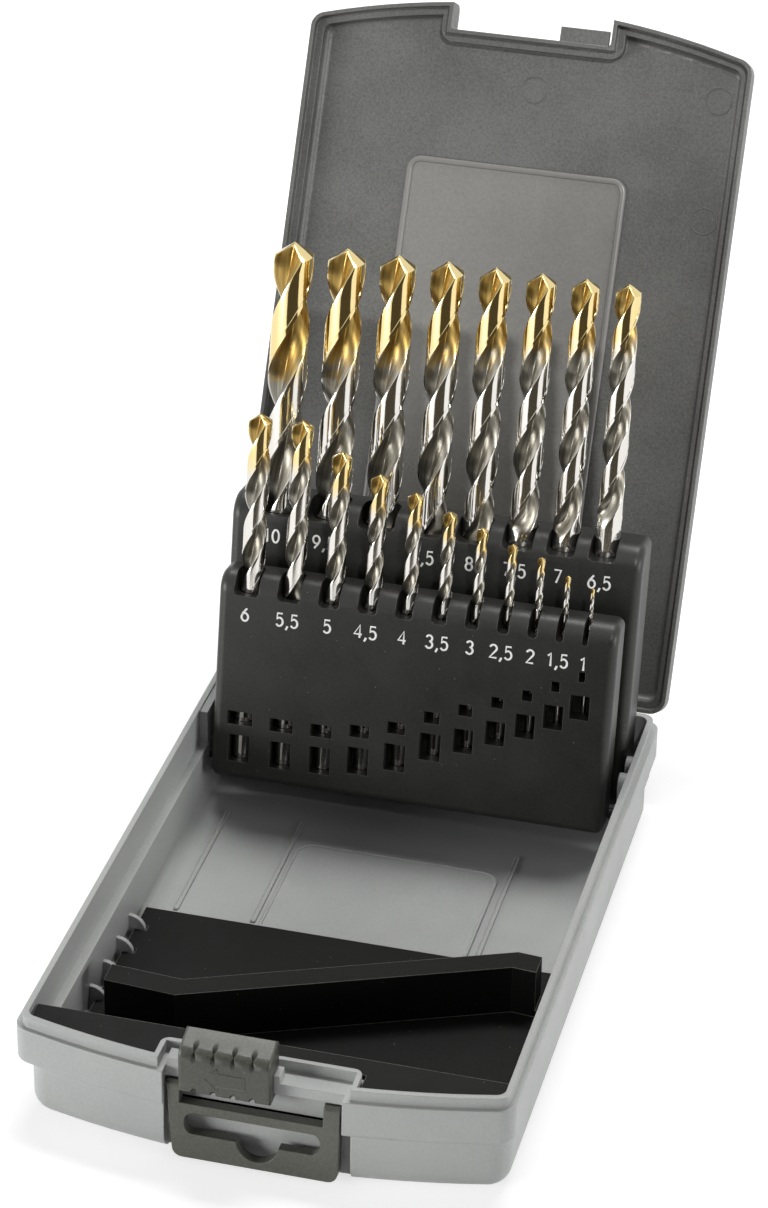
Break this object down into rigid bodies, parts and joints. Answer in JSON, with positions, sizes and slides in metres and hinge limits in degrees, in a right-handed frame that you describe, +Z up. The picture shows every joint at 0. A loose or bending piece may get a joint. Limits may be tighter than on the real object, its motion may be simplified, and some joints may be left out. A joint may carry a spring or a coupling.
{
  "type": "drill bit case",
  "caption": "Hinged plastic case standing open, with fold-down racks of twist drills graded by size, a sliding latch and a hanging tab.",
  "frame": {"origin": "centre of the straight-sided part of the base's underside, on the surface that it stands on", "axes": "+X to the right seen from the latch, +Y towards the lid hinge, +Z up"},
  "size_m": [0.117, 0.27, 0.1792],
  "materials": {
    "base_plastic": "light grey fine-textured injection moulding",
    "lid_plastic": "dark grey fine-textured injection moulding",
    "rack_plastic": "charcoal fine-textured injection moulding",
    "tray_plastic": "black fine-textured injection moulding",
    "latch_plastic": "olive grey fine-textured injection moulding",
    "drill_steel": "bright ground high speed steel, gold coloured at the point"
  },
  "bodies": {
    "base": {"base_tub": "base_plastic", "tip_tray": "tray_plastic"},
    "lid": {"lid": "lid_plastic"},
    "latch": {"latch_slider": "latch_plastic"},
    "hanger": {"hanger_handle": "latch_plastic"},
    "low_rack": {"front_rack": "rack_plastic"},
    "tall_rack": {"rear_rack": "rack_plastic"},
    "drill_6_0": {"drill_6_0": "drill_steel"},
    "drill_5_5": {"drill_5_5": "drill_steel"},
    "drill_5_0": {"drill_5_0": "drill_steel"},
    "drill_4_5": {"drill_4_5": "drill_steel"},
    "drill_4_0": {"drill_4_0": "drill_steel"},
    "drill_3_5": {"drill_3_5": "drill_steel"},
    "drill_3_0": {"drill_3_0": "drill_steel"},
    "drill_2_5": {"drill_2_5": "drill_steel"},
    "drill_2_0": {"drill_2_0": "drill_steel"},
    "drill_1_5": {"drill_1_5": "drill_steel"},
    "drill_1_0": {"drill_1_0": "drill_steel"},
    "drill_10_0": {"drill_10_0": "drill_steel"},
    "drill_9_5": {"drill_9_5": "drill_steel"},
    "drill_9_0": {"drill_9_0": "drill_steel"},
    "drill_8_5": {"drill_8_5": "drill_steel"},
    "drill_8_0": {"drill_8_0": "drill_steel"},
    "drill_7_5": {"drill_7_5": "drill_steel"},
    "drill_7_0": {"drill_7_0": "drill_steel"},
    "drill_6_5": {"drill_6_5": "drill_steel"}
  },
  "joints": [
    {"name": "lid_hinge", "type": "hinge", "parent": "base", "child": "lid", "pos_m": [0, 0.08685, 0.02255], "axis": [-1, 0, 0], "range_deg": [-117.85, 0]},
    {"name": "front_rack_hinge", "type": "hinge", "parent": "base", "child": "low_rack", "pos_m": [0, 0.05693, 0.01249], "axis": [-1, 0, 0], "range_deg": [-100, 0]},
    {"name": "rear_rack_hinge", "type": "hinge", "parent": "base", "child": "tall_rack", "pos_m": [0, 0.06623, 0.0173], "axis": [-1, 0, 0], "range_deg": [-100, 0]},
    {"name": "latch_slide", "type": "slide", "parent": "base", "child": "latch", "axis": [1, 0, 0], "range_m": [0, 0.0114]},
    {"name": "hanger_hinge", "type": "hinge", "parent": "base", "child": "hanger", "pos_m": [0, -0.0884, 0.0194], "axis": [-1, 0, 0], "range_deg": [0, 85]},
    {"name": "drill_6_0_slide", "type": "slide", "parent": "low_rack", "child": "drill_6_0", "axis": [0, 0.1724, 0.985], "range_m": [0, 0.0517]},
    {"name": "drill_5_5_slide", "type": "slide", "parent": "low_rack", "child": "drill_5_5", "axis": [0, 0.1724, 0.985], "range_m": [0, 0.052]},
    {"name": "drill_5_0_slide", "type": "slide", "parent": "low_rack", "child": "drill_5_0", "axis": [0, 0.1724, 0.985], "range_m": [0, 0.0517]},
    {"name": "drill_4_5_slide", "type": "slide", "parent": "low_rack", "child": "drill_4_5", "axis": [0, 0.1724, 0.985], "range_m": [0, 0.0502]},
    {"name": "drill_4_0_slide", "type": "slide", "parent": "low_rack", "child": "drill_4_0", "axis": [0, 0.1724, 0.985], "range_m": [0, 0.0477]},
    {"name": "drill_3_5_slide", "type": "slide", "parent": "low_rack", "child": "drill_3_5", "axis": [0, 0.1724, 0.985], "range_m": [0, 0.0434]},
    {"name": "drill_3_0_slide", "type": "slide", "parent": "low_rack", "child": "drill_3_0", "axis": [0, 0.1724, 0.985], "range_m": [0, 0.04]},
    {"name": "drill_2_5_slide", "type": "slide", "parent": "low_rack", "child": "drill_2_5", "axis": [0, 0.1724, 0.985], "range_m": [0, 0.0366]},
    {"name": "drill_2_0_slide", "type": "slide", "parent": "low_rack", "child": "drill_2_0", "axis": [0, 0.1724, 0.985], "range_m": [0, 0.0335]},
    {"name": "drill_1_5_slide", "type": "slide", "parent": "low_rack", "child": "drill_1_5", "axis": [0, 0.1724, 0.985], "range_m": [0, 0.0299]},
    {"name": "drill_1_0_slide", "type": "slide", "parent": "low_rack", "child": "drill_1_0", "axis": [0, 0.1724, 0.985], "range_m": [0, 0.0263]},
    {"name": "drill_10_0_slide", "type": "slide", "parent": "tall_rack", "child": "drill_10_0", "axis": [0, 0.1724, 0.985], "range_m": [0, 0.0671]},
    {"name": "drill_9_5_slide", "type": "slide", "parent": "tall_rack", "child": "drill_9_5", "axis": [0, 0.1724, 0.985], "range_m": [0, 0.0591]},
    {"name": "drill_9_0_slide", "type": "slide", "parent": "tall_rack", "child": "drill_9_0", "axis": [0, 0.1724, 0.985], "range_m": [0, 0.0591]},
    {"name": "drill_8_5_slide", "type": "slide", "parent": "tall_rack", "child": "drill_8_5", "axis": [0, 0.1724, 0.985], "range_m": [0, 0.0511]},
    {"name": "drill_8_0_slide", "type": "slide", "parent": "tall_rack", "child": "drill_8_0", "axis": [0, 0.1724, 0.985], "range_m": [0, 0.0511]},
    {"name": "drill_7_5_slide", "type": "slide", "parent": "tall_rack", "child": "drill_7_5", "axis": [0, 0.1724, 0.985], "range_m": [0, 0.0431]},
    {"name": "drill_7_0_slide", "type": "slide", "parent": "tall_rack", "child": "drill_7_0", "axis": [0, 0.1724, 0.985], "range_m": [0, 0.0431]},
    {"name": "drill_6_5_slide", "type": "slide", "parent": "tall_rack", "child": "drill_6_5", "axis": [0, 0.1724, 0.985], "range_m": [0, 0.0351]}
  ],
  "couplings": [
    {"joint": "front_rack_hinge", "follows": "lid_hinge", "ratio": 0.84794},
    {"joint": "rear_rack_hinge", "follows": "lid_hinge", "ratio": 0.84794}
  ]
}
